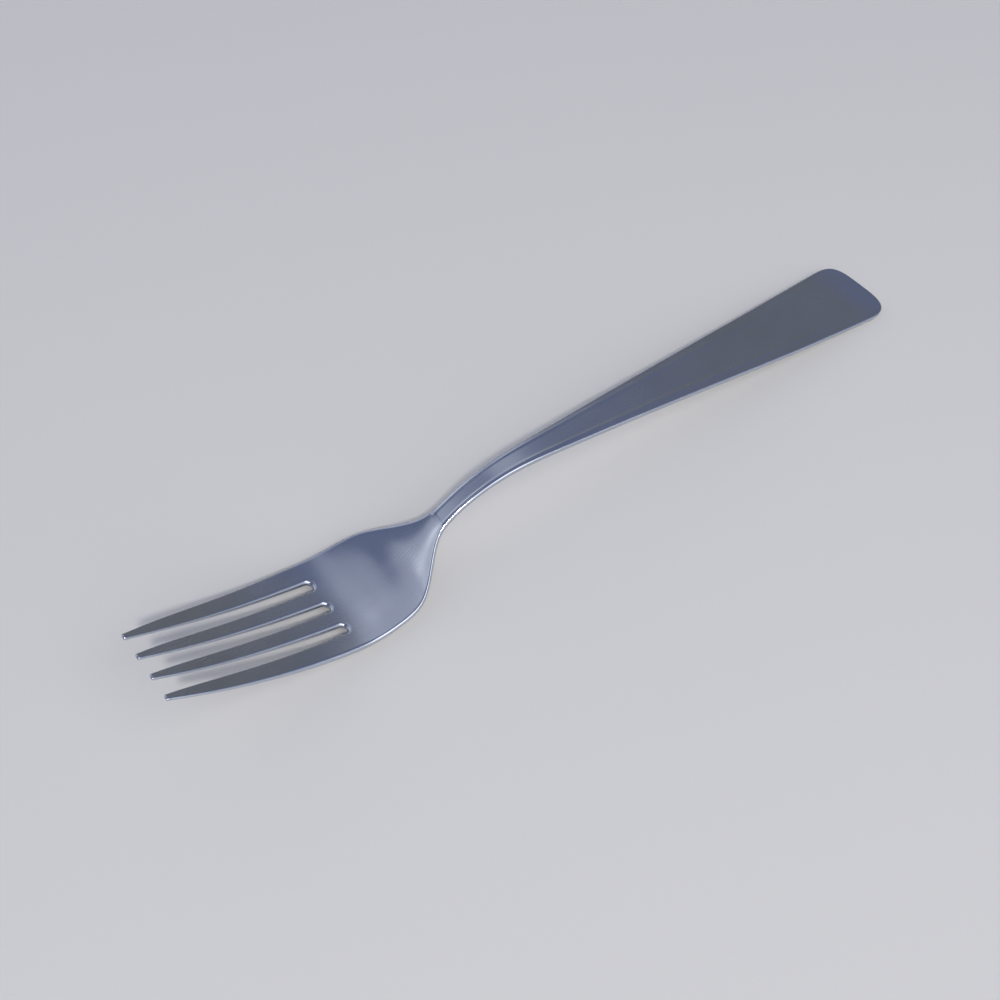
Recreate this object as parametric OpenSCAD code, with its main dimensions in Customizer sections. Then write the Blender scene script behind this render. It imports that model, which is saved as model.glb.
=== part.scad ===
// Table fork in one piece of stainless steel: a flat blank with four tines,
// pressed to a bowed side view with a dished bowl and ground flat where it rests.
// X runs from the tine tips to the handle end, Y across and Z up.
// The origin is on the table, under the middle of the fork.

/* [Head] */
// Length from the tine tips to the narrowest place of the neck
head_len = 71.5; // [65:0.5:80]
// Widest width of the head
head_w = 26.2; // [24:0.1:30]
// Width over the outer tines at their tips
tips_w = 18; // [16:0.2:22]
// Number of tines
tines = 4; // [3:1:5]
// Length of the slots, from the tine tips to their round ends
slot_len = 40; // [34:0.5:44]
// Width of a slot at its round end
slot_w = 2.2; // [1.8:0.1:2.6]
// Width of an inner tine where its point begins
tine_w = 2.9; // [2.6:0.1:3.2]
// Width of a tine at its tip
tine_tip_w = 1.35; // [1.2:0.05:1.7]
// Length over which a tine narrows to its point
point_len = 9; // [7:0.5:12]
// How much wider an outer tine is than an inner one at the slot ends
outer_extra = 1; // [0.4:0.1:1.6]

/* [Handle] */
// Width of the neck
neck_w = 4.7; // [4:0.1:6]
// Length from the narrowest place of the neck to the handle end
handle_len = 129; // [115:1:145]
// Width that the sides of the handle reach at its end
handle_w = 20.6; // [17:0.2:24]
// Length of the rounded handle end
end_len = 9.5; // [7:0.5:12]
// Height of the raised border line on the handle
border_rise = 0.1; // [0.02:0.01:0.14]
// How far before the narrowest place the border line closes across the neck
border_lead = 2.5; // [1:0.1:3]

/* [Side view] */
// Height of the underside at the tine tips
tip_rise = 18.4; // [14:0.5:22]
// Height of the underside at the crest behind the neck
crest_rise = 13.3; // [10:0.1:16]
// Depth to which the bowl is dished across
dish = 1.35; // [0.8:0.05:1.8]
// Depth ground off the underside where the fork rests
rest_flat = 0.12; // [0.08:0.02:0.2]

/* [Steel] */
// Thickness of the bowl, neck and handle
steel_t = 2; // [1.7:0.1:2.4]
// Thickness of the tine tips
tip_t = 1.2; // [1:0.1:1.5]
// How much thinner the steel is at its edges, taken off the underside
edge_relief = 0.7; // [0:0.1:0.8]
// Radius on the edges of the bowl and slots
edge_r = 0.8; // [0.5:0.05:0.8]
// Radius on the edges of the neck and handle
handle_edge_r = 0.5; // [0.3:0.05:0.7]
// Radius on the edges of the tine tips
tip_edge_r = 0.45; // [0.25:0.05:0.45]

/* [Hidden] */

// How far a cutting block reaches past what it cuts
overrun = 5;

// Outline: place along the head, and share of the growth from tips_w to head_w
spread_shares = [[0, 0], [0.08, 0.27], [0.2, 0.54], [0.36, 0.78], [0.52, 1]];
// Outline: place along the head, and share of the growth from neck_w to head_w
shoulder_shares = [[0.65, 1], [0.75, 0.97], [0.83, 0.8], [0.885, 0.475], [0.93, 0.17], [0.965, 0.01]];
// Outline: place along the handle, and share of the growth from neck_w to handle_w
taper_shares = [[0.01, -0.01], [0.06, 0.015], [0.14, 0.055], [0.26, 0.19], [0.5, 0.465],
    [0.76, 0.785], [1, 1.02]];
// Inner tine: place between the point and the slot end, and share of the growth there
tine_shares = [[0, 0], [0.3, 0.4], [0.68, 0.72], [1, 1]];
// How far along the point, and how wide there, its side is drawn
point_place_share = 0.45;
point_width_share = 0.6;

// Side view: place along the head, and share of tip_rise
fall_shares = [[0, 1], [0.1, 0.81], [0.22, 0.57], [0.36, 0.325], [0.48, 0.15], [0.575, 0.03]];
// Side view: places along the head where the bowl rests
sole_shares = [0.645, 0.7, 0.75];
// Side view: place along the head, and share of crest_rise
neck_shares = [[0.81, 0.02], [0.875, 0.205], [0.94, 0.5]];
// Side view: place along the handle, and share of crest_rise
crest_shares = [[0.005, 0.745], [0.05, 0.91], [0.1, 1], [0.16, 0.995]];
back_shares = [[0.24, 0.895], [0.4, 0.71], [0.6, 0.435], [0.76, 0.21], [0.88, 0.08]];
// Side view: places along the handle where its end rests
heel_shares = [0.95, 1];

// Dish of the bowl: place along the head, and share of dish
dish_shares = [[0.3, 0], [0.42, 0.1], [0.52, 0.4], [0.64, 0.68],
    [0.74, 0.97], [0.84, 1.08], [0.92, 0.5], [1, 0]];
// How late across the width the dish turns up: 2 is a plain parabola
dish_power = 2.5;
// How square the handle end is: 1 is an ellipse and 0 a rectangle
corner_share = 0.53;

// Border line: its middle and half its width, as shares of half the width
border_mid_share = 0.655;
border_half_share = 0.17;
// Rows across the border line where it closes at the neck
border_rows_shares = [0.825, 0.74, 0.655, 0.57, 0.485];
// Columns at the ends of the border line, as shares of the columns counted from the middle
border_columns = [0.4, 0.8];
// The widest share of the top face that the columns of the border line reach
border_reach = 0.94;
// Where along the head the edge radius of the bowl passes into that of the neck
edge_change_shares = [0.72, 0.97];
// Share of half the width where the underside begins to lift towards its edges
relief_start_share = 0.5;
// Where along the handle the close rows of the arch end
arch_share = 0.2;

// Steps of the mesh
curve_steps = 24;
tine_steps = 16;
tip_steps = 4;
slot_columns = 4;
root_steps = 2 * slot_columns;
shoulder_steps = 20;
arch_steps = 9;
handle_steps = 13;
end_steps = 16;
edge_steps = 2;

overall_len = head_len + handle_len;
end_x = overall_len - end_len;
tip_x = tine_tip_w / 2;
root_x = slot_len - slot_w / 2;
root_tine_w = (head_w - (tines - 1) * slot_w - 2 * outer_extra) / tines;
root_pitch = root_tine_w + slot_w;
tip_pitch = (tips_w - tine_tip_w) / (tines - 1);

function mix(a, b, share) = a + (b - a) * share;
function clamp(share) = min(max(share, 0), 1);
function eased(share) = pow(clamp(share), 2) * (3 - 2 * clamp(share));
function unit(v) = v / norm(v);

// Smooth curves along a row of control points, as uniform cubic B-splines that reach both end points
function beyond(from, to) = 2 * to - from;
function guided(points) =
    let (n = len(points))
    concat([beyond(points[1], points[0])], points, [beyond(points[n - 2], points[n - 1])]);
function curve_point(p, i, t) =
    (pow(1 - t, 3) * p[i] + (3 * pow(t, 3) - 6 * pow(t, 2) + 4) * p[i + 1]
        + (-3 * pow(t, 3) + 3 * pow(t, 2) + 3 * t + 1) * p[i + 2] + pow(t, 3) * p[i + 3]) / 6;
function curve_heading(p, i, t) =
    (-pow(1 - t, 2) * p[i] + (3 * pow(t, 2) - 4 * t) * p[i + 1]
        + (-3 * pow(t, 2) + 2 * t + 1) * p[i + 2] + pow(t, 2) * p[i + 3]) / 2;
function traced(points) =
    let (p = guided(points), spans = len(p) - 3)
    [for (i = [0 : spans - 1]) for (k = [0 : curve_steps - (i < spans - 1 ? 1 : 0)])
        curve_point(p, i, k / curve_steps)];
function traced_slope(points) =
    let (p = guided(points), spans = len(p) - 3)
    [for (i = [0 : spans - 1]) for (k = [0 : curve_steps - (i < spans - 1 ? 1 : 0)])
        let (along = curve_point(p, i, k / curve_steps), heading = curve_heading(p, i, k / curve_steps))
        [along[0], heading[1] / heading[0]]];

// Half the width of the outline
plan_points = concat(
    [for (s = spread_shares) [s[0] * head_len, mix(tips_w, head_w, s[1]) / 2]],
    [for (s = shoulder_shares) [s[0] * head_len, mix(neck_w, head_w, s[1]) / 2]],
    [for (s = taper_shares) [head_len + s[0] * handle_len, mix(neck_w, handle_w, s[1]) / 2]]);
plan_line = traced(plan_points);
function half_w(x) = lookup(x, plan_line);

// Height of the middle of the underside, before it is ground
side_points = concat(
    [for (s = fall_shares) [s[0] * head_len, s[1] * tip_rise]],
    [for (place = sole_shares) [place * head_len, -rest_flat]],
    [for (s = neck_shares) [s[0] * head_len, s[1] * crest_rise]],
    [for (s = crest_shares) [head_len + s[0] * handle_len, s[1] * crest_rise]],
    [for (s = back_shares) [head_len + s[0] * handle_len, s[1] * crest_rise]],
    [for (place = heel_shares) [head_len + place * handle_len, -rest_flat]]);
side_line = traced(side_points);
side_slope = traced_slope(side_points);

dish_line = traced([for (s = dish_shares) [s[0] * head_len, s[1] * dish]]);

// Width of an inner tine
tine_line = traced(concat(
    [[0, tine_tip_w], [point_place_share * point_len, mix(tine_tip_w, tine_w, point_width_share)]],
    [for (s = tine_shares) [mix(point_len, root_x, s[0]), mix(tine_w, root_tine_w, s[1])]]));

// Pitch and half width of the slots, and the two sides of each tine, counted from the far side
function pitch(x) = mix(tip_pitch, root_pitch, (half_w(x) - half_w(0)) / (half_w(root_x) - half_w(0)));
function slot_half(x) = (pitch(x) - lookup(x, tine_line)) / 2;
function slot_y(k, x) = ((tines - 2) / 2 - k) * pitch(x);
function tine_far(j, x) = j == 0 ? half_w(x) : slot_y(j - 1, x) - slot_half(x);
function tine_near(j, x) = j == tines - 1 ? -half_w(x) : slot_y(j, x) + slot_half(x);

// Thickness, edge radius and half width of the flat top face
function swell(x) = eased(x / slot_len);
function thickness(x) = mix(tip_t, steel_t, swell(x));
function round_r(x) =
    let (from = edge_change_shares[0], to = edge_change_shares[1])
    let (neck_part = eased((x / head_len - from) / (to - from)))
    mix(mix(tip_edge_r, edge_r, swell(x)), handle_edge_r, neck_part);
function face_w(x) = half_w(x) - round_r(x);

// Lift of the underside towards its edges, at a share u of half the width, and radius on its edges
function relief(x, u) =
    edge_relief * swell(x) * pow(clamp((u - relief_start_share) / (1 - relief_start_share)), 2);
function lower_r(x) = min(round_r(x), thickness(x) - relief(x, 1) - round_r(x));

// Border line: a low rounded ridge that follows the outline at a share u of half the width
border_start = head_len - border_lead;
border_w = half_w(border_start);
function face_share(x) = face_w(min(x, end_x)) / half_w(min(x, end_x));
function ridge(t) = abs(t) < 1 ? pow(1 - t * t, 2) : 0;
function border(x, u) =
    let (line = max(u, 1 - (x - border_start) / border_w))
    border_rise * ridge((line - border_mid_share) / border_half_share);

// Rows along the head and handle, from the slot ends to the rounded handle end
row_start = slot_len + 2 * edge_r;
border_end = border_start + border_w;
arch_end = head_len + arch_share * handle_len;
row_x = concat(
    [for (i = [0 : shoulder_steps]) mix(row_start, border_start, i / shoulder_steps)],
    [for (s = border_rows_shares) border_start + (1 - s) * border_w],
    [for (i = [0 : arch_steps - 1]) mix(border_end, arch_end, i / arch_steps)],
    [for (i = [0 : handle_steps]) mix(arch_end, end_x, i / handle_steps)]);
rows = len(row_x);
tine_x = [for (i = [0 : tine_steps]) mix(tip_x, root_x, i / tine_steps)];

// Columns across, from the far side to the near side: at the slot ends they line up with the tines
tine_columns = 2 + slot_columns;
columns = tine_columns * tines - slot_columns;
function head_column(c) =
    let (j = floor(c / tine_columns), m = c % tine_columns)
    let (far_y = tine_far(j, root_x), near_y = tine_near(j, root_x))
    m < 2 ? mix(far_y, near_y, m / 2) : mix(near_y, tine_far(j + 1, root_x), (m - 2) / slot_columns);
function handle_column(c, x) =
    let (inner = (border_mid_share - border_half_share) / face_share(x))
    let (outer = min((border_mid_share + border_half_share) / face_share(x), border_reach))
    sign(columns - 2 * c) * lookup(abs(1 - 2 * c / columns),
        [[0, 0], [border_columns[0], inner], [border_columns[1], outer], [1, 1]]);
function column_share(c, x) =
    let (settled = clamp((x - row_start) / (head_len - row_start)))
    mix(head_column(c) / face_w(root_x), handle_column(c, x), settled);

// Squared-off round of the handle end: its outline, and the share u of its top face
function end_point(a, u, inset) =
    let (along = pow(cos(a), corner_share), across = sign(a) * pow(abs(sin(a)), corner_share))
    [end_x + u * (end_len - inset) * along, u * (half_w(end_x + end_len * along) - inset) * across];
function end_angle(k) = 180 * k / end_steps - 90;

// Outline of the blank, counter-clockwise from the near side of the bowl
outline = concat(
    [for (x = row_x) [x, -half_w(x)]],
    [for (k = [1 : end_steps - 1]) end_point(end_angle(k), 1, 0)],
    [for (i = [rows - 1 : -1 : 0]) [row_x[i], half_w(row_x[i])]],
    [for (j = [0 : tines - 1]) each concat(
        [for (i = [tine_steps : -1 : 0]) [tine_x[i], tine_far(j, tine_x[i])]],
        tip_arc(j),
        [for (i = [0 : tine_steps]) [tine_x[i], tine_near(j, tine_x[i])]],
        j < tines - 1 ? root_arc(j) : [])]);
function tip_arc(j) =
    let (far_y = tine_far(j, tip_x), near_y = tine_near(j, tip_x))
    [for (k = [1 : tip_steps - 1]) let (a = 180 * k / tip_steps)
        [tip_x * (1 - sin(a)), mix(far_y, near_y, (1 - cos(a)) / 2)]];
function root_arc(j) =
    [for (k = [1 : root_steps - 1]) let (a = 180 * k / root_steps)
        [root_x, slot_y(j, root_x)] + slot_half(root_x) * [sin(a), cos(a)]];
edge_len = len(outline);

// Directions that point from the outline into the steel
inward = [for (i = [0 : edge_len - 1])
    let (before = outline[(i + edge_len - 1) % edge_len], after = outline[(i + 1) % edge_len])
    let (heading = unit(unit(outline[i] - before) + unit(after - outline[i])))
    [-heading[1], heading[0]]];

// Points inside the faces, each with its share of half the width for the border line
inner_points = concat(
    [for (j = [0 : tines - 1]) for (x = tine_x) [x, (tine_far(j, x) + tine_near(j, x)) / 2, 0]],
    [for (x = row_x) for (c = [1 : columns - 1]) let (u = column_share(c, x))
        [x, u * face_w(x), abs(u) * face_share(x)]],
    [for (r = [1 : columns / 2 - 1]) for (k = [1 : end_steps - 1]) let (u = abs(handle_column(r, end_x)))
        let (p = end_point(end_angle(k), u, handle_edge_r)) [p[0], p[1], u * face_share(end_x)]]);
inner_len = len(inner_points);

// Places of the points in those lists
function near_side(i) = i;
function end_side(k) = rows + k - 1;
function far_side(i) = 2 * rows + end_steps - 2 - i;
tine_start = 2 * rows + end_steps - 1;
tine_count = 2 * (tine_steps + 1) + tip_steps - 1 + root_steps - 1;
function tine_point(j, i, m) =
    m == 0 ? tine_start + j * tine_count + tine_steps - i
    : m == 1 ? edge_len + j * (tine_steps + 1) + i
    : tine_start + j * tine_count + tine_steps + tip_steps + i;
function tip_point(j, k) = tine_start + j * tine_count + tine_steps + k;
function root_point(j, k) =
    k == root_steps ? tine_point(j + 1, tine_steps, 0) : tine_point(j, tine_steps, 2) + k;
head_start = edge_len + tines * (tine_steps + 1);
function head_point(i, c) =
    c == 0 ? far_side(i) : c == columns ? near_side(i) : head_start + i * (columns - 1) + c - 1;
ring_start = head_start + rows * (columns - 1);
function ring_point(r, k) =
    k == 0 ? head_point(rows - 1, columns - r)
    : k == end_steps ? head_point(rows - 1, r)
    : r == 0 ? end_side(k)
    : ring_start + (r - 1) * (end_steps - 1) + k - 1;

// Triangles of the blank, counter-clockwise from above, with mirrored diagonals on its two halves
function quad(a, b, c, d, flip) = flip ? [[a, b, d], [b, c, d]] : [[a, b, c], [a, c, d]];
blank_cells = concat(
    [for (j = [0 : tines - 1]) for (k = [0 : tip_steps - 1])
        [tine_point(j, 0, 1), tip_point(j, k), tip_point(j, k + 1)]],
    [for (j = [0 : tines - 1]) for (i = [0 : tine_steps - 1]) for (m = [0, 1])
        each quad(tine_point(j, i, m), tine_point(j, i, m + 1), tine_point(j, i + 1, m + 1),
            tine_point(j, i + 1, m), m == 1)],
    [for (j = [0 : tines - 1]) for (m = [0, 1]) let (c = tine_columns * j + m)
        each quad(tine_point(j, tine_steps, m), tine_point(j, tine_steps, m + 1), head_point(0, c + 1),
            head_point(0, c), m == 1)],
    [for (j = [0 : tines - 2]) for (m = [0 : slot_columns - 1])
        let (c = tine_columns * j + 2 + m, outer = m < slot_columns / 2 ? 0 : 1)
        each [[root_point(j, 2 * m), root_point(j, 2 * m + 1), head_point(0, c + outer)],
            [root_point(j, 2 * m + 1), root_point(j, 2 * m + 2), head_point(0, c + outer)],
            [root_point(j, 2 * m + 2 - 2 * outer), head_point(0, c + 1), head_point(0, c)]]],
    [for (i = [0 : rows - 2]) for (c = [0 : columns - 1])
        each quad(head_point(i, c), head_point(i, c + 1), head_point(i + 1, c + 1), head_point(i + 1, c),
            c >= columns / 2)],
    [for (r = [0 : columns / 2 - 2]) for (k = [0 : end_steps - 1])
        each quad(ring_point(r, k), ring_point(r, k + 1), ring_point(r + 1, k + 1), ring_point(r + 1, k),
            k >= end_steps / 2)],
    [for (k = [0 : end_steps - 1])
        [head_point(rows - 1, columns / 2), ring_point(columns / 2 - 1, k),
            ring_point(columns / 2 - 1, k + 1)]]);

// Rounded edge, from the top face to the underside: share of the radius in from the outline,
// share of the thickness up, and share of the radius up from there
edge_shares = concat(
    [for (k = [0 : edge_steps]) let (a = 90 - 90 * k / edge_steps) [1 - cos(a), 1, sin(a) - 1]],
    [for (k = [0 : edge_steps]) let (a = 90 * k / edge_steps) [1 - cos(a), 0, 1 - sin(a)]]);
edge_rings = len(edge_shares);

// Presses the blank: a point of the plan, at a height above the underside
function pressed(x, y, height) =
    let (tilt = atan(lookup(x, side_slope)))
    let (raised = height + lookup(x, dish_line) * pow(abs(y) / half_w(x), dish_power))
    [x - raised * sin(tilt) - overall_len / 2, y, lookup(x, side_line) + raised * cos(tilt)];

fork_points = concat(
    [for (s = edge_shares) for (i = [0 : edge_len - 1])
        let (x = outline[i][0], r = s[1] == 1 ? round_r(x) : lower_r(x))
        let (p = outline[i] + s[0] * r * inward[i])
        let (top = thickness(p[0]) + border(x, 1 - s[0] * r / half_w(x)))
        pressed(p[0], p[1], mix(relief(x, 1), top, s[1]) + s[2] * r)],
    [for (p = inner_points) pressed(p[0], p[1], thickness(p[0]) + border(p[0], p[2]))],
    [for (p = inner_points) pressed(p[0], p[1], relief(p[0], p[2]))]);

function top_place(i) = i < edge_len ? i : i + (edge_rings - 1) * edge_len;
function under_place(i) = top_place(i) + (i < edge_len ? (edge_rings - 1) * edge_len : inner_len);
fork_faces = concat(
    [for (t = blank_cells) [top_place(t[2]), top_place(t[1]), top_place(t[0])]],
    [for (t = blank_cells) [under_place(t[0]), under_place(t[1]), under_place(t[2])]],
    [for (s = [0 : edge_rings - 2]) for (i = [0 : edge_len - 1])
        let (n = (i + 1) % edge_len, a = s * edge_len, b = a + edge_len)
        each quad(a + i, a + n, b + n, b + i, outline[i][1] + outline[n][1] > 0)]);

// Everything below the table, which grinds the rests flat
module below_table() {
    translate([-overall_len, -head_w, -overrun])
        cube([2 * overall_len, 2 * head_w, overrun]);
}

module fork() {
    color([0.66, 0.68, 0.72])
        difference() {
            polyhedron(points = fork_points, faces = fork_faces);
            below_table();
        }
}

fork();
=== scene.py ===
"""Table fork in one piece of polished stainless steel: how it looks.

Polished steel shows every facet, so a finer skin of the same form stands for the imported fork:
a flat blank with round edges, pressed to the fork's side view and dished across the bowl.
Lengths are millimetres up to the mesh, which is in metres in the fork's own frame: X from the
tine tips to the handle end, Y across, Z up, and the table at Z = 0.
"""
import math

import bmesh
import bpy
import numpy as np
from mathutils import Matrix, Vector


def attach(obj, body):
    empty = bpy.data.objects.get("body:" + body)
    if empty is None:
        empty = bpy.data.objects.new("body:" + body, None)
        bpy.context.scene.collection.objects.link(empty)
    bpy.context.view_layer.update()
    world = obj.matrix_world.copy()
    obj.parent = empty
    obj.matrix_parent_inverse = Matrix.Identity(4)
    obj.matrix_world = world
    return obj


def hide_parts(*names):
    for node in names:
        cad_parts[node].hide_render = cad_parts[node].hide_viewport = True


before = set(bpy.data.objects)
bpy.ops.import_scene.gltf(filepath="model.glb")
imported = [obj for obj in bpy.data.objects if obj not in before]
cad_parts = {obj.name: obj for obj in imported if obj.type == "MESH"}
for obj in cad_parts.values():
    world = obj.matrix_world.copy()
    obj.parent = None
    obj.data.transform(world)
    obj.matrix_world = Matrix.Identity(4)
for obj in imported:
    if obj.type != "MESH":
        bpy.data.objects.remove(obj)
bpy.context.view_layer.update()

MM = 0.001

# The head
HEAD_LEN = 71.5
HEAD_W = 26.2
TIPS_W = 18
TINES = 4
SLOT_LEN = 40
SLOT_W = 2.2
TINE_W = 2.9
TINE_TIP_W = 1.35
POINT_LEN = 9
# How much wider each outer tine is at its root
OUTER_EXTRA = 1

# The neck and handle
NECK_W = 4.7
HANDLE_LEN = 129
HANDLE_W = 20.6
END_LEN = 9.5
# Height of the border line on the handle, and how far before the handle it begins
BORDER_RISE = 0.1
BORDER_LEAD = 2.5

# Heights of the tine tips and the crest, and lift of the bowl's edges over its middle
TIP_RISE = 18.4
CREST_RISE = 13.3
DISH = 1.35
# How far the side view dips below the table at the two ground flats
REST_FLAT = 0.12

# Thickness of the steel and of the tine tips, and lift of the underside's edges at each
STEEL_T = 2
TIP_T = 1.2
EDGE_RELIEF = 0.7
TIP_RELIEF = 0.5
# Radii of the rounded edges of the bowl, the handle and the tine tips
EDGE_R = 0.8
HANDLE_EDGE_R = 0.5
TIP_EDGE_R = 0.35

# Outline: place along the head or handle, and share of the growth in width there
SPREAD = [(0, 0), (0.08, 0.27), (0.2, 0.54), (0.36, 0.78), (0.52, 1)]
SHOULDER = [(0.65, 1), (0.75, 0.97), (0.83, 0.8), (0.885, 0.475), (0.93, 0.17), (0.965, 0.01)]
TAPER = [(0.01, -0.01), (0.06, 0.015), (0.14, 0.055), (0.26, 0.19), (0.5, 0.465), (0.76, 0.785),
         (1, 1.02)]
# Each tine: place from its point to its root, and share of the growth in width there
TINE_GROWTH = [(0, 0), (0.3, 0.4), (0.68, 0.72), (1, 1)]
# The point of a tine: one place along it, and share of the growth in width there
POINT_PLACE = 0.45
POINT_WIDTH = 0.6
# Powers that round the ends of the handle and the tines, where 1 would be an ellipse
CORNER = 0.53
TIP_CORNER = 0.66

# Side view: place along the head or handle, and share of the height of the tips or the crest
FALL = [(0, 1), (0.1, 0.81), (0.22, 0.57), (0.36, 0.325), (0.48, 0.15), (0.575, 0.03)]
SOLE = [0.645, 0.7, 0.75]
NECK = [(0.81, 0.02), (0.875, 0.205), (0.94, 0.5)]
CREST = [(0.005, 0.745), (0.05, 0.91), (0.1, 1), (0.16, 0.995)]
BACK = [(0.24, 0.895), (0.4, 0.71), (0.6, 0.435), (0.76, 0.21), (0.88, 0.08)]
HEEL = [0.95, 1]

# Dish of the bowl: place along the head, and share of its depth
DISH_GROWTH = [(0.3, 0), (0.42, 0.1), (0.52, 0.4), (0.64, 0.68), (0.74, 0.97), (0.84, 1.08),
               (0.92, 0.5), (1, 0)]
DISH_POWER = 2.5

# Places along the head where the edge radius of the bowl passes into that of the handle
EDGE_CHANGE = [0.72, 0.97]

# Share of half the width where the underside begins to lift towards its edges
RELIEF_START = 0.5

# Border line, as shares of half the width: its middle, half its width, and its round corners
BORDER_MID = 0.655
BORDER_HALF = 0.17
BORDER_CORNER = 0.16
# Places along the handle between which it fades, and the share of its height left at the end
BORDER_FADE = [0.55, 0.92]
BORDER_LEFT = 0.3

# Fineness of the skin: steps along and across each stretch of the blank
CURVE_STEPS = 64
TINE_STEPS = 60
TIP_ARC_STEPS = 14
SLOT_END_SIDE_STEPS = 4
SLOT_END_TOP_STEPS = 12
SHOULDER_STEPS = 50
CLOSING_STEPS = 26
ARCH_STEPS = 46
HANDLE_STEPS = 120
END_STEPS = 48
ROUNDING_STEPS = 9
WALL_STEPS = 3
# Across half a tine, from its edge to its middle: closer together near the rounded edge
HALF_TINE_SHARES = np.array([0, 0.07, 0.2, 0.38, 0.58, 0.79, 1])
# Across half the handle, as shares of its columns: where the border line begins and ends
BORDER_COLUMNS = [0.25, 0.85]
# Farthest out that the column at the border line's outer side lies, as a share of the face
BORDER_REACH = 0.97
# The first full row lies this many edge radii past the slots
ROW_GAP = 3
# Share of the handle that the finer rows of the arch cover
ARCH_SHARE = 0.2
# Points nearer to each other than this, in metres, become one
MERGE_DISTANCE = 1e-6

OVERALL_LEN = HEAD_LEN + HANDLE_LEN
END_X = OVERALL_LEN - END_LEN
TIP_X = TINE_TIP_W / 2
ROOT_X = SLOT_LEN - SLOT_W / 2
ROW_START = SLOT_LEN + ROW_GAP * EDGE_R
ARCH_END = HEAD_LEN + ARCH_SHARE * HANDLE_LEN
ROOT_TINE_W = (HEAD_W - (TINES - 1) * SLOT_W - 2 * OUTER_EXTRA) / TINES
ROOT_PITCH = ROOT_TINE_W + SLOT_W
TIP_PITCH = (TIPS_W - TINE_TIP_W) / (TINES - 1)


def mix(a, b, share):
    return a + (b - a) * share


def eased(x, start, end):
    """A smooth rise from 0 at the start to 1 at the end."""
    share = np.clip((x - start) / (end - start), 0, 1)
    return share**2 * (3 - 2 * share)


class Curve:
    """A cubic B-spline along a row of points, which reaches both end points."""

    def __init__(self, points):
        p = np.array(points, float)
        p = np.vstack([2 * p[0] - p[1], p, 2 * p[-1] - p[-2]])
        t = np.linspace(0, 1, CURVE_STEPS + 1)[:, None]
        place = np.hstack([
            (1 - t) ** 3, 3 * t**3 - 6 * t**2 + 4, -3 * t**3 + 3 * t**2 + 3 * t + 1, t**3]) / 6
        heading = np.hstack([-((1 - t) ** 2), 3 * t**2 - 4 * t, -3 * t**2 + 2 * t + 1, t**2]) / 2
        spans = [p[i:i + 4] for i in range(len(p) - 3)]
        places = np.vstack([place @ span for span in spans])
        headings = np.vstack([heading @ span for span in spans])
        self.along, self.value = places.T
        self.gradient = headings[:, 1] / headings[:, 0]

    def at(self, x):
        return np.interp(x, self.along, self.value)

    def slope(self, x):
        return np.interp(x, self.along, self.gradient)


half_width = Curve(
    [(s * HEAD_LEN, mix(TIPS_W, HEAD_W, g) / 2) for s, g in SPREAD]
    + [(s * HEAD_LEN, mix(NECK_W, HEAD_W, g) / 2) for s, g in SHOULDER]
    + [(HEAD_LEN + s * HANDLE_LEN, mix(NECK_W, HANDLE_W, g) / 2) for s, g in TAPER]).at
side_view = Curve(
    [(s * HEAD_LEN, g * TIP_RISE) for s, g in FALL]
    + [(s * HEAD_LEN, -REST_FLAT) for s in SOLE]
    + [(s * HEAD_LEN, g * CREST_RISE) for s, g in NECK]
    + [(HEAD_LEN + s * HANDLE_LEN, g * CREST_RISE) for s, g in CREST + BACK]
    + [(HEAD_LEN + s * HANDLE_LEN, -REST_FLAT) for s in HEEL])
dish_depth = Curve([(s * HEAD_LEN, g * DISH) for s, g in DISH_GROWTH]).at
tine_width = Curve(
    [(0, TINE_TIP_W), (POINT_PLACE * POINT_LEN, mix(TINE_TIP_W, TINE_W, POINT_WIDTH))]
    + [(mix(POINT_LEN, ROOT_X, s), mix(TINE_W, ROOT_TINE_W, g)) for s, g in TINE_GROWTH]).at

BORDER_START = HEAD_LEN - BORDER_LEAD
BORDER_W = half_width(BORDER_START)

# Places along the fork where the skin has rows of points: on the tines, and from there to the end
TINE_X = np.linspace(TIP_X, ROOT_X, TINE_STEPS + 1)
ROW_X = np.concatenate([
    np.linspace(ROOT_X, ROW_START, SLOT_END_SIDE_STEPS, endpoint=False),
    np.linspace(ROW_START, BORDER_START, SHOULDER_STEPS, endpoint=False),
    np.linspace(BORDER_START, BORDER_START + BORDER_W, CLOSING_STEPS, endpoint=False),
    np.linspace(BORDER_START + BORDER_W, ARCH_END, ARCH_STEPS, endpoint=False),
    np.linspace(ARCH_END, END_X, HANDLE_STEPS + 1)])
FIRST_ROW = SLOT_END_SIDE_STEPS
SLOT_END_STEPS = 2 * SLOT_END_SIDE_STEPS + SLOT_END_TOP_STEPS

# Columns of points across the bowl and handle, and those that run on from the tines' middles
HALF_TINE_STEPS = len(HALF_TINE_SHARES) - 1
COLUMNS = 2 * HALF_TINE_STEPS + (TINES - 1) * SLOT_END_TOP_STEPS
TINE_COLUMNS = [HALF_TINE_STEPS + j * SLOT_END_TOP_STEPS for j in range(TINES)]


def pitch(x):
    """Distance from one tine or slot to the next."""
    growth = (half_width(x) - half_width(0)) / (half_width(ROOT_X) - half_width(0))
    return mix(TIP_PITCH, ROOT_PITCH, growth)


def slot_half(x):
    """Half the width of a slot."""
    return (pitch(x) - tine_width(x)) / 2


def slot_y(k, x):
    """The middle of slot k, counted from the far side."""
    return ((TINES - 2) / 2 - k) * pitch(x)


def tine_far(j, x):
    """The far edge of tine j, counted from the far side."""
    return half_width(x) if j == 0 else slot_y(j - 1, x) - slot_half(x)


def tine_near(j, x):
    """The near edge of tine j."""
    return -half_width(x) if j == TINES - 1 else slot_y(j, x) + slot_half(x)


def thickness(x):
    """Thickness of the steel, which grows along the tines."""
    return mix(TIP_T, STEEL_T, eased(x, 0, SLOT_LEN))


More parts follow.
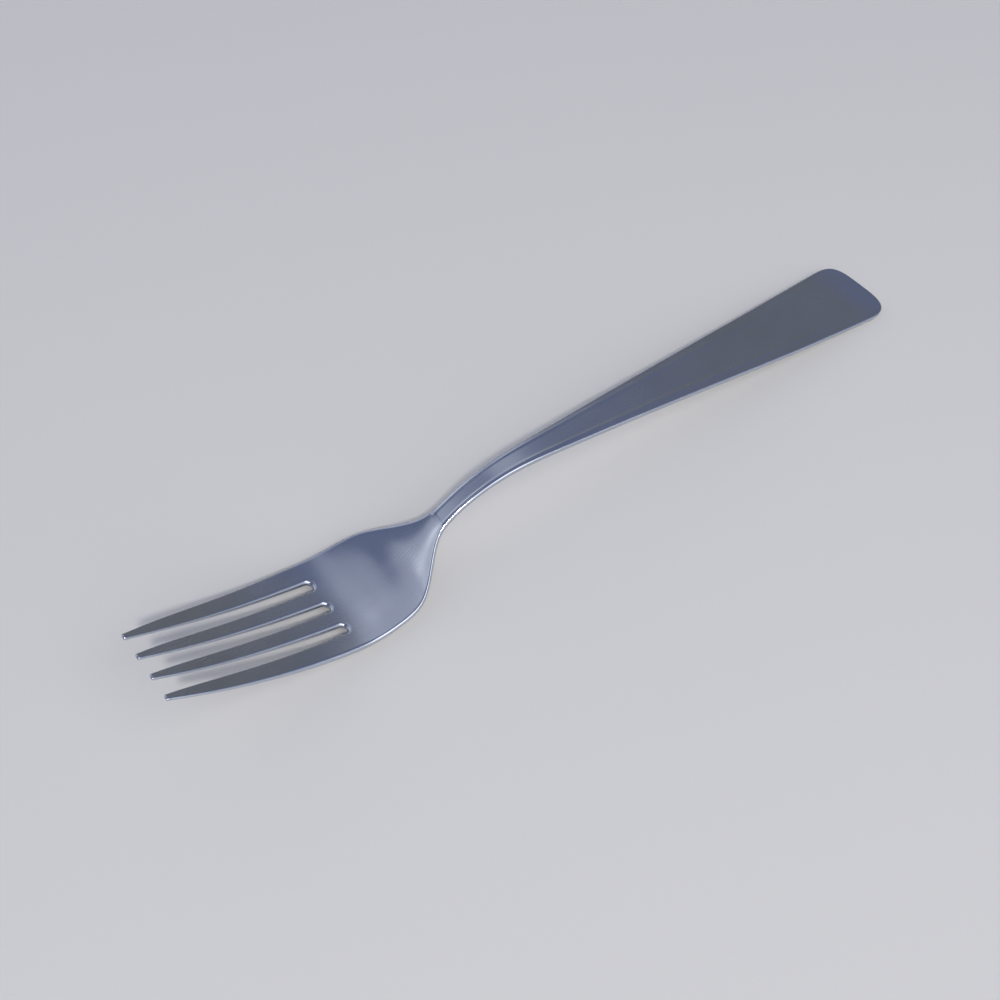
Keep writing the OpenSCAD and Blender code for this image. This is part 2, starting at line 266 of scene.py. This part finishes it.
def edge_radius(x):
    """Radius of the rounded upper edge."""
    head_radius = mix(TIP_EDGE_R, EDGE_R, eased(x, 0, SLOT_LEN))
    return mix(head_radius, HANDLE_EDGE_R, eased(x / HEAD_LEN, *EDGE_CHANGE))


def relief(x, share):
    """Lift of the underside towards its edges, at a share of the way there."""
    full = mix(TIP_RELIEF, EDGE_RELIEF, eased(x, 0, SLOT_LEN))
    return full * np.clip((share - RELIEF_START) / (1 - RELIEF_START), 0, 1) ** 2


def lower_edge_radius(x):
    """Radius of the rounded lower edge, smaller where the steel is thin."""
    return np.minimum(edge_radius(x), thickness(x) - relief(x, 1) - edge_radius(x))


def face_share(x):
    """The flat face's share of half the width."""
    x = np.minimum(x, END_X)
    return 1 - edge_radius(x) / half_width(x)


def border_height(x, share):
    """Height of the border line at a share of half the width.

    It is a low rounded ridge along both sides of the handle, which closes across the neck.
    """
    closing = 1 - (x - BORDER_START) / BORDER_W
    apart = np.clip(1 - np.abs(closing - share) / BORDER_CORNER, 0, 1)
    line = np.maximum(share, closing) + BORDER_CORNER / 4 * apart**2
    across = np.clip((line - BORDER_MID) / BORDER_HALF, -1, 1)
    fading = eased((x - HEAD_LEN) / HANDLE_LEN, *BORDER_FADE)
    return BORDER_RISE * mix(1, BORDER_LEFT, fading) * (1 - across**2) ** 2


def pressed(plan, height):
    """Where points of the flat blank lie on the pressed fork, each at a height over the underside."""
    x, y = plan[..., 0], plan[..., 1]
    tilt = np.arctan(side_view.slope(x))
    raised = height + dish_depth(x) * (np.abs(y) / half_width(x)) ** DISH_POWER
    z = side_view.at(x) + raised * np.cos(tilt)
    return np.stack([x - raised * np.sin(tilt) - OVERALL_LEN / 2, y, np.maximum(z, 0)], -1) * MM


def rounded(value, power):
    """A sine or cosine raised to a power, with its sign kept."""
    return np.sign(value) * np.abs(value) ** power


def outline():
    """The blank's outline, counter-clockwise from above, and the index of each named stretch."""
    points, stretch = [], {}

    def add(name, x, y):
        stretch[name] = np.arange(len(points), len(points) + len(x))
        points.extend(zip(x, y))

    add("near", ROW_X[1:], -half_width(ROW_X[1:]))
    a = np.radians(np.linspace(-90, 90, END_STEPS + 1)[1:-1])
    end_x = END_X + END_LEN * rounded(np.cos(a), CORNER)
    add("end", end_x, half_width(end_x) * rounded(np.sin(a), CORNER))
    add("far", ROW_X[:0:-1], half_width(ROW_X[:0:-1]))
    for j in range(TINES):
        add(("tine far", j), TINE_X[::-1], tine_far(j, TINE_X[::-1]))
        a = np.linspace(0, np.pi, TIP_ARC_STEPS + 1)[1:-1]
        tip_x = TIP_X * (1 - rounded(np.sin(a), TIP_CORNER))
        width_share = (1 - rounded(np.cos(a), TIP_CORNER)) / 2
        add(("tip", j), tip_x, mix(tine_far(j, TIP_X), tine_near(j, TIP_X), width_share))
        add(("tine near", j), TINE_X, tine_near(j, TINE_X))
        if j < TINES - 1:
            a = np.linspace(0, np.pi, SLOT_END_STEPS + 1)[1:-1]
            r = slot_half(ROOT_X)
            add(("slot end", j), ROOT_X + r * np.sin(a), slot_y(j, ROOT_X) + r * np.cos(a))
    return np.array(points), stretch


def lines_between(a, b, shares):
    """Rows of points from each point of a to the matching point of b."""
    a, b = np.asarray(a, float)[:, None], np.asarray(b, float)[:, None]
    return a + (b - a) * np.asarray(shares, float)[None, :, None]


def inward_patch(edge, inside, inside_share):
    """A grid of points from an edge of the face inwards, and their shares of the way to the edge."""
    grid = lines_between(edge, inside, HALF_TINE_SHARES)
    return grid, mix(1, np.reshape(inside_share, (-1, 1)), HALF_TINE_SHARES)


def tine_patches(inner, stretch):
    """Two patches for each tine, along it and round its tip, and the middles of the tines' roots."""
    both_ways = np.concatenate([HALF_TINE_SHARES / 2, 1 - HALF_TINE_SHARES[-2::-1] / 2])
    patches, roots = [], []
    for j in range(TINES):
        far, near = inner[stretch["tine far", j]][::-1], inner[stretch["tine near", j]]
        middle = (far + near) / 2
        tip = np.vstack([far[:1], inner[stretch["tip", j]], near[:1]])
        patches.append((lines_between(far, near, both_ways), np.abs(1 - 2 * both_ways)))
        patches.append(inward_patch(tip, np.broadcast_to(middle[0], tip.shape), 0))
        roots.append(middle[-1])
    return patches, roots


def bowl_columns(roots, half):
    """Where the columns of points cross the first full row, as shares of half its width."""
    mids = [root[1] / half for root in roots]
    steps = np.arange(1, SLOT_END_TOP_STEPS + 1) / SLOT_END_TOP_STEPS
    return np.concatenate(
        [mix(1, mids[0], HALF_TINE_SHARES)]
        + [mix(mids[j], mids[j + 1], steps) for j in range(TINES - 1)]
        + [mix(mids[-1], -1, 1 - HALF_TINE_SHARES[-2::-1])])


def handle_columns(x):
    """The same for rows at places x along the handle, where some columns follow the border line."""
    count = 1 - 2 * np.arange(COLUMNS + 1) / COLUMNS
    rows = []
    for face in face_share(x):
        begins = (BORDER_MID - BORDER_HALF) / face
        ends = min((BORDER_MID + BORDER_HALF) / face, BORDER_REACH)
        across = np.interp(np.abs(count), [0, *BORDER_COLUMNS, 1], [0, begins, ends, 1])
        rows.append(np.sign(count) * across)
    return np.array(rows)


def body_patch(far, near, roots):
    """The patch of the bowl, neck and handle, in rows from the far edge to the near one."""
    x = ROW_X[FIRST_ROW:]
    settled = eased(x, ROW_START, BORDER_START)[:, None]
    share = mix(bowl_columns(roots, far[FIRST_ROW][1])[None], handle_columns(x), settled)
    centre = np.stack([x, np.zeros_like(x)], -1)[:, None]
    edge = np.where(share[..., None] >= 0, far[FIRST_ROW:, None], near[FIRST_ROW:, None])
    return centre + (edge - centre) * np.abs(share)[..., None], np.abs(share)


def root_patches(inner, stretch, far, near, roots, row, row_share):
    """Patches from the tines' roots to the first full row: beside the slots, and round their ends."""
    steps = np.arange(FIRST_ROW + 1) / FIRST_ROW
    middle = lines_between(roots, row[TINE_COLUMNS], steps)
    middle_share = row_share[TINE_COLUMNS][:, None] * steps
    patches = [inward_patch(far[:FIRST_ROW + 1], middle[0], middle_share[0]),
               inward_patch(near[:FIRST_ROW + 1], middle[-1], middle_share[-1])]
    for j in range(TINES - 1):
        arc = inner[np.concatenate([
            stretch["tine near", j][-1:], stretch["slot end", j], stretch["tine far", j + 1][:1]])]
        top = slice(TINE_COLUMNS[j] + 1, TINE_COLUMNS[j + 1] + 1)
        around = np.vstack([middle[j], row[top], middle[j + 1][-2::-1]])
        around_share = np.concatenate([middle_share[j], row_share[top], middle_share[j + 1][-2::-1]])
        patches.append(inward_patch(arc, around, around_share))
    return patches


def face_patches(inner, stretch):
    """Patches that cover a face of the blank inside its rounded edge.

    Each is a grid of points, with each point's share of the way from the middle of its tine, or
    of the bowl or handle, to the edge.
    """
    near = inner[np.concatenate([stretch["tine near", TINES - 1][-1:], stretch["near"]])]
    far = inner[np.concatenate([stretch["far"], stretch["tine far", 0][:1]])][::-1]
    end = inner[np.concatenate([stretch["near"][-1:], stretch["end"], stretch["far"][:1]])]

    patches, roots = tine_patches(inner, stretch)
    body, body_share = body_patch(far, near, roots)
    patches.append((body, body_share))
    patches += root_patches(inner, stretch, far, near, roots, body[0], body_share[0])
    ring = handle_columns(ROW_X[-1:])[0, :COLUMNS // 2 + 1]
    patches.append((lines_between(end, np.broadcast_to([END_X, 0], end.shape), 1 - ring), ring[None]))
    return [(grid, np.broadcast_to(share, grid.shape[:2])) for grid, share in patches]


def rounding(radius):
    """Distances in from the outline and down from the face, outwards across a rounded edge."""
    a = np.linspace(np.pi / 2, 0, ROUNDING_STEPS + 1)
    return radius[:, None] * (1 - np.cos(a)), radius[:, None] * (1 - np.sin(a))


def edge_patch(rim, inward, upper_radius, lower_radius):
    """The patch of the rounded edges, with the wall between them, right round the outline."""
    upper_in, down = rounding(upper_radius)
    lower_in, up = rounding(lower_radius)
    upper = rim[:, None] + inward[:, None] * upper_in[..., None]
    lower = rim[:, None] + inward[:, None] * lower_in[:, ::-1, None]
    wall = np.repeat(rim[:, None], WALL_STEPS - 1, 1)
    x = upper[..., 0]
    upper_share = mix(1, face_share(x), upper_in / upper_radius[:, None])
    upper_height = thickness(x) + border_height(x, upper_share) - down
    lower_height = relief(lower[..., 0], 1) + up[:, ::-1]
    wall_steps = np.arange(1, WALL_STEPS) / WALL_STEPS
    wall_height = mix(upper_height[:, -1:], lower_height[:, :1], wall_steps)
    heights = np.hstack([upper_height, wall_height, lower_height])
    grid = pressed(np.hstack([upper, wall, lower]), heights)
    closed = np.concatenate([grid, grid[:1]])
    return closed, np.ones(closed.shape[:2])


def unit(vectors):
    return vectors / np.linalg.norm(vectors, axis=-1, keepdims=True)


def skin_patches():
    """Patches of the pressed fork: its top, its underside and its rounded edges."""
    rim, stretch = outline()
    before, after = np.roll(rim, 1, 0), np.roll(rim, -1, 0)
    heading = unit(unit(rim - before) + unit(after - rim))
    inward = np.stack([-heading[:, 1], heading[:, 0]], -1)
    upper_radius, lower_radius = edge_radius(rim[:, 0]), lower_edge_radius(rim[:, 0])

    patches = []
    for grid, share in face_patches(rim + inward * upper_radius[:, None], stretch):
        x = grid[..., 0]
        height = thickness(x) + border_height(x, share * face_share(x))
        patches.append((pressed(grid, height), share))
    for grid, share in face_patches(rim + inward * lower_radius[:, None], stretch):
        patches.append((pressed(grid, relief(grid[..., 0], share)), share))
    patches.append(edge_patch(rim, inward, upper_radius, lower_radius))
    return patches


def fork_skin():
    """The mesh of the fork, with each point's share of the way to the edge."""
    vertices, faces, edge_shares = [], [], []
    for grid, share in skin_patches():
        n, m = grid.shape[:2]
        index = np.arange(n * m).reshape(n, m) + len(vertices)
        corners = np.stack([index[:-1, :-1], index[:-1, 1:], index[1:, 1:], index[1:, :-1]], -1)
        vertices.extend(grid.reshape(-1, 3).tolist())
        faces.extend(corners.reshape(-1, 4).tolist())
        edge_shares.append(share.ravel())
    mesh = bpy.data.meshes.new("fork_skin")
    mesh.from_pydata(vertices, [], faces)
    edge_share = mesh.attributes.new("edge_share", "FLOAT", "POINT")
    edge_share.data.foreach_set("value", np.concatenate(edge_shares))
    skin = bmesh.new()
    skin.from_mesh(mesh)
    bmesh.ops.remove_doubles(skin, verts=skin.verts, dist=MERGE_DISTANCE)
    bmesh.ops.recalc_face_normals(skin, faces=skin.faces)
    skin.to_mesh(mesh)
    skin.free()
    mesh.shade_smooth()
    return mesh


fork = bpy.data.objects.new("fork_polished", fork_skin())
bpy.context.scene.collection.objects.link(fork)
fork.modifiers.new("even_gloss", "WEIGHTED_NORMAL").keep_sharp = False
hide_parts("fork")
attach(fork, "root")

# The steel's colour where it is darkest and palest
DARK_STEEL = (0.535, 0.566, 0.627, 1)
PALE_STEEL = (0.555, 0.584, 0.643, 1)
# Its roughness where smudged least and most, and what grain, hairlines and wear change in it
SMUDGE_ROUGHNESS = (0.215, 0.275)
GRAIN_ROUGHNESS = 0.01
HAIRLINE_ROUGHNESS = 0.05
WEAR_ROUGHNESS = 0.03
# Values between which most of a noise lies, and its middle
NOISE_SPAN = (0.3, 0.7)
NOISE_MIDDLE = 0.5
# How far from the middle of the noise a hairline reaches
HAIRLINE_REACH = 0.006
# Share of the way to the edge where wear begins
WEAR_START = 0.86
# The relief's full height in metres, and shares of it for the grain and the hairlines
RELIEF_HEIGHT = 0.001 * MM
GRAIN_RELIEF = 0.3
HAIRLINE_RELIEF = 0.3

# The floor, in metres, and the degrees from one corner of its round edge to the next
FLOOR_RADIUS = 1.5
FLOOR_STEP = 3
FLOOR_COLOUR = (0.76, 0.735, 0.69, 1)
FLOOR_ROUGHNESS = 0.8

# Sockets of a Mix node that hold its two colours and the colour between them
MIX_FIRST = 6
MIX_SECOND = 7
MIX_RESULT = 2


def material(name):
    """A new material and its shader."""
    made = bpy.data.materials.new(name)
    made.use_nodes = True
    return made, made.node_tree.nodes["Principled BSDF"]


def ranged(tree, value, start, end, low=0, high=1):
    """A value that passes smoothly from low to high between start and end."""
    step = tree.nodes.new("ShaderNodeMapRange")
    step.interpolation_type = "SMOOTHSTEP"
    limits = {"From Min": start, "From Max": end, "To Min": low, "To Max": high}
    for socket, limit in limits.items():
        step.inputs[socket].default_value = limit
    tree.links.new(value, step.inputs["Value"])
    return step.outputs["Result"]


def colour_between(tree, share, first, second):
    """The colour at a share of the way from the first to the second."""
    step = tree.nodes.new("ShaderNodeMix")
    step.data_type = "RGBA"
    step.inputs[MIX_FIRST].default_value = first
    step.inputs[MIX_SECOND].default_value = second
    tree.links.new(share, step.inputs["Factor"])
    return step.outputs[MIX_RESULT]


def polished_steel():
    """Polished stainless steel: lengthwise grain, hairline scratches, dull smudges, bright edges."""
    made, shader = material("polished_steel")
    tree = made.node_tree
    link = tree.links.new
    place = tree.nodes.new("ShaderNodeTexCoord").outputs["Object"]

    def noise(size_mm, turn=0, detail=2.0):
        """Cloudy values, in spots of a size along, across and up, turned by some degrees."""
        mapping = tree.nodes.new("ShaderNodeMapping")
        mapping.vector_type = "TEXTURE"
        mapping.inputs["Rotation"].default_value = (0, 0, math.radians(turn))
        mapping.inputs["Scale"].default_value = [size * MM for size in size_mm]
        texture = tree.nodes.new("ShaderNodeTexNoise")
        texture.inputs["Scale"].default_value = 1
        texture.inputs["Detail"].default_value = detail
        link(place, mapping.inputs["Vector"])
        link(mapping.outputs["Vector"], texture.inputs["Vector"])
        return texture.outputs["Fac"]

    def combined(operation, a, b=0):
        """The result of an operation on two values, each a socket or a number."""
        step = tree.nodes.new("ShaderNodeMath")
        step.operation = operation
        for socket, value in zip(step.inputs, (a, b)):
            if isinstance(value, bpy.types.NodeSocket):
                link(value, socket)
            else:
                socket.default_value = value
        return step.outputs["Value"]

    def scratches(size_mm, turn, where):
        """Thin lines where stretched noise passes its middle, only in the places of a mask."""
        stretched = noise(size_mm, turn, detail=1.0)
        off_middle = combined("ABSOLUTE", combined("SUBTRACT", stretched, NOISE_MIDDLE))
        lines = ranged(tree, off_middle, 0, HAIRLINE_REACH, low=1, high=0)
        return combined("MULTIPLY", lines, where)

    grain = noise(size_mm=(22, 0.3, 22), detail=5.0)
    smudges = noise(size_mm=(14, 9, 14), turn=25, detail=3.0)
    edge = tree.nodes.new("ShaderNodeAttribute")
    edge.attribute_name = "edge_share"
    worn = ranged(tree, edge.outputs["Fac"], WEAR_START, 1)
    lengthwise_places = ranged(tree, noise(size_mm=(12, 7, 12)), start=0.5, end=0.6)
    lengthwise = scratches(size_mm=(26, 1.3, 26), turn=5, where=lengthwise_places)
    slanting_places = ranged(tree, noise(size_mm=(9, 6, 9), turn=60), start=0.54, end=0.62)
    slanting = scratches(size_mm=(17, 1.6, 17), turn=-34, where=slanting_places)
    hairlines = combined("MAXIMUM", lengthwise, slanting)

    smudged = ranged(tree, smudges, *NOISE_SPAN, *SMUDGE_ROUGHNESS)
    grained = ranged(tree, grain, *NOISE_SPAN, -GRAIN_ROUGHNESS, GRAIN_ROUGHNESS)
    roughness = combined("ADD", smudged, grained)
    roughness = combined("ADD", roughness, combined("MULTIPLY", hairlines, HAIRLINE_ROUGHNESS))
    roughness = combined("SUBTRACT", roughness, combined("MULTIPLY", worn, WEAR_ROUGHNESS))
    link(roughness, shader.inputs["Roughness"])

    tint = colour_between(tree, combined("MULTIPLY", smudges, grain), DARK_STEEL, PALE_STEEL)
    link(tint, shader.inputs["Base Color"])
    shader.inputs["Metallic"].default_value = 1

    raised = combined("MULTIPLY", grain, GRAIN_RELIEF)
    cut = combined("MULTIPLY", hairlines, HAIRLINE_RELIEF)
    bump = tree.nodes.new("ShaderNodeBump")
    bump.inputs["Distance"].default_value = RELIEF_HEIGHT
    link(combined("SUBTRACT", raised, cut), bump.inputs["Height"])
    link(bump.outputs["Normal"], shader.inputs["Normal"])
    return made


def pale_floor():
    made, shader = material("pale_floor")
    shader.inputs["Base Color"].default_value = FLOOR_COLOUR
    shader.inputs["Roughness"].default_value = FLOOR_ROUGHNESS
    return made


def direction(azimuth, elevation):
    """A unit vector from the fork, at an azimuth counted from +X towards +Y, in degrees."""
    a, e = math.radians(azimuth), math.radians(elevation)
    return Vector((math.cos(a) * math.cos(e), math.sin(a) * math.cos(e), math.sin(e)))


fork.data.materials.append(polished_steel())

# The floor, plain, pale and round, so that its far edge looks the same from every side
floor_edge = [direction(azimuth, 0) * FLOOR_RADIUS for azimuth in range(0, 360, FLOOR_STEP)]
floor_mesh = bpy.data.meshes.new("floor")
floor_mesh.from_pydata(floor_edge, [], [range(len(floor_edge))])
floor = bpy.data.objects.new("floor", floor_mesh)
floor.data.materials.append(pale_floor())
bpy.context.scene.collection.objects.link(floor)

# Lamps: azimuth and elevation in degrees, distance in metres, half the angles that each fills
# across and up as seen from the fork, how bright it looks, and a shape other than a rectangle
FAR = 1.6
LAMPS = [
    ("key", 238.6, 50, 1.5, 2.2, 2.2, 215, "ELLIPSE"),
    ("front_panel", 264, 38, FAR, 31, 32, 0.95),
    ("side_panel", 306, 22, FAR, 14, 24, 0.33),
    ("upper_side_panel", 300, 53, FAR, 14, 14, 1.1),
    ("window", 100, 39, FAR, 41, 19, 0.32),
    ("low_window", 134, 9, FAR, 29, 12, 0.5),
    ("bowl_glint", 134, 28, FAR, 5, 6, 0.7),
    ("high_window", 56, 58, FAR, 8, 13, 0.26),
    ("glow", 62, 24, FAR, 10, 8, 0.1),
    ("neck_panel", 95, 20, FAR, 13, 8, 0.6),
]

# The world: the middle of its cool side, how far round it the grey passes into the cool, as
# cosines, and the two colours
COOL_SIDE = direction(azimuth=195, elevation=35)
COOL_SPAN = (-0.42, -0.17)
GREY_LIGHT = (0.178, 0.182, 0.190, 1)
COOL_LIGHT = (0.155, 0.186, 0.300, 1)

# The camera, at the photograph's viewing angle, with its lens in millimetres and clip in metres
CAMERA_TARGET = Vector((-13.01, 2.15, 0)) * MM
CAMERA_DISTANCE = 311.46 * MM
CAMERA_AZIMUTH = 232.514
CAMERA_ELEVATION = 52.58
LENS = 50
SENSOR_WIDTH = 36
CLIP_START = 0.01


def aimed(thing, location, target):
    """A lamp or the camera, set at a place and turned to face a target."""
    thing.location = location
    thing.rotation_mode = "QUATERNION"
    thing.rotation_quaternion = (Vector(target) - Vector(location)).to_track_quat("-Z", "Y")
    bpy.context.scene.collection.objects.link(thing)
    return thing


def soft_lamp(name, azimuth, elevation, distance, half_across, half_up, radiance, shape="RECTANGLE"):
    """A soft lamp that faces the fork. Its radiance is how bright the lamp itself looks."""
    lamp = bpy.data.lights.new(name, "AREA")
    lamp.shape = shape
    lamp.size = 2 * distance * math.tan(math.radians(half_across))
    lamp.size_y = 2 * distance * math.tan(math.radians(half_up))
    area = lamp.size * lamp.size_y * (math.pi / 4 if shape == "ELLIPSE" else 1)
    lamp.energy = radiance * math.pi * area
    made = bpy.data.objects.new(name, lamp)
    aimed(made, direction(azimuth, elevation) * distance, (0, 0, 0))
    made.visible_camera = False


def studio_world():
    """Soft light all round, cool but for low down beyond the handle end, where it is grey."""
    world = bpy.data.worlds.new("studio")
    world.use_nodes = True
    tree = world.node_tree
    place = tree.nodes.new("ShaderNodeTexCoord")
    along = tree.nodes.new("ShaderNodeVectorMath")
    along.operation = "DOT_PRODUCT"
    along.inputs[1].default_value = COOL_SIDE
    tree.links.new(place.outputs["Generated"], along.inputs[0])
    coolness = ranged(tree, along.outputs["Value"], *COOL_SPAN)
    tone = colour_between(tree, coolness, GREY_LIGHT, COOL_LIGHT)
    tree.links.new(tone, tree.nodes["Background"].inputs["Color"])
    return world


for lamp_values in LAMPS:
    soft_lamp(*lamp_values)

bpy.context.scene.world = studio_world()

camera = bpy.data.cameras.new("camera")
camera.lens = LENS
camera.sensor_width = SENSOR_WIDTH
camera.clip_start = CLIP_START
camera_place = CAMERA_TARGET + direction(CAMERA_AZIMUTH, CAMERA_ELEVATION) * CAMERA_DISTANCE
bpy.context.scene.camera = aimed(
    bpy.data.objects.new("camera", camera), camera_place, CAMERA_TARGET)

bpy.context.scene.view_settings.view_transform = "Standard"
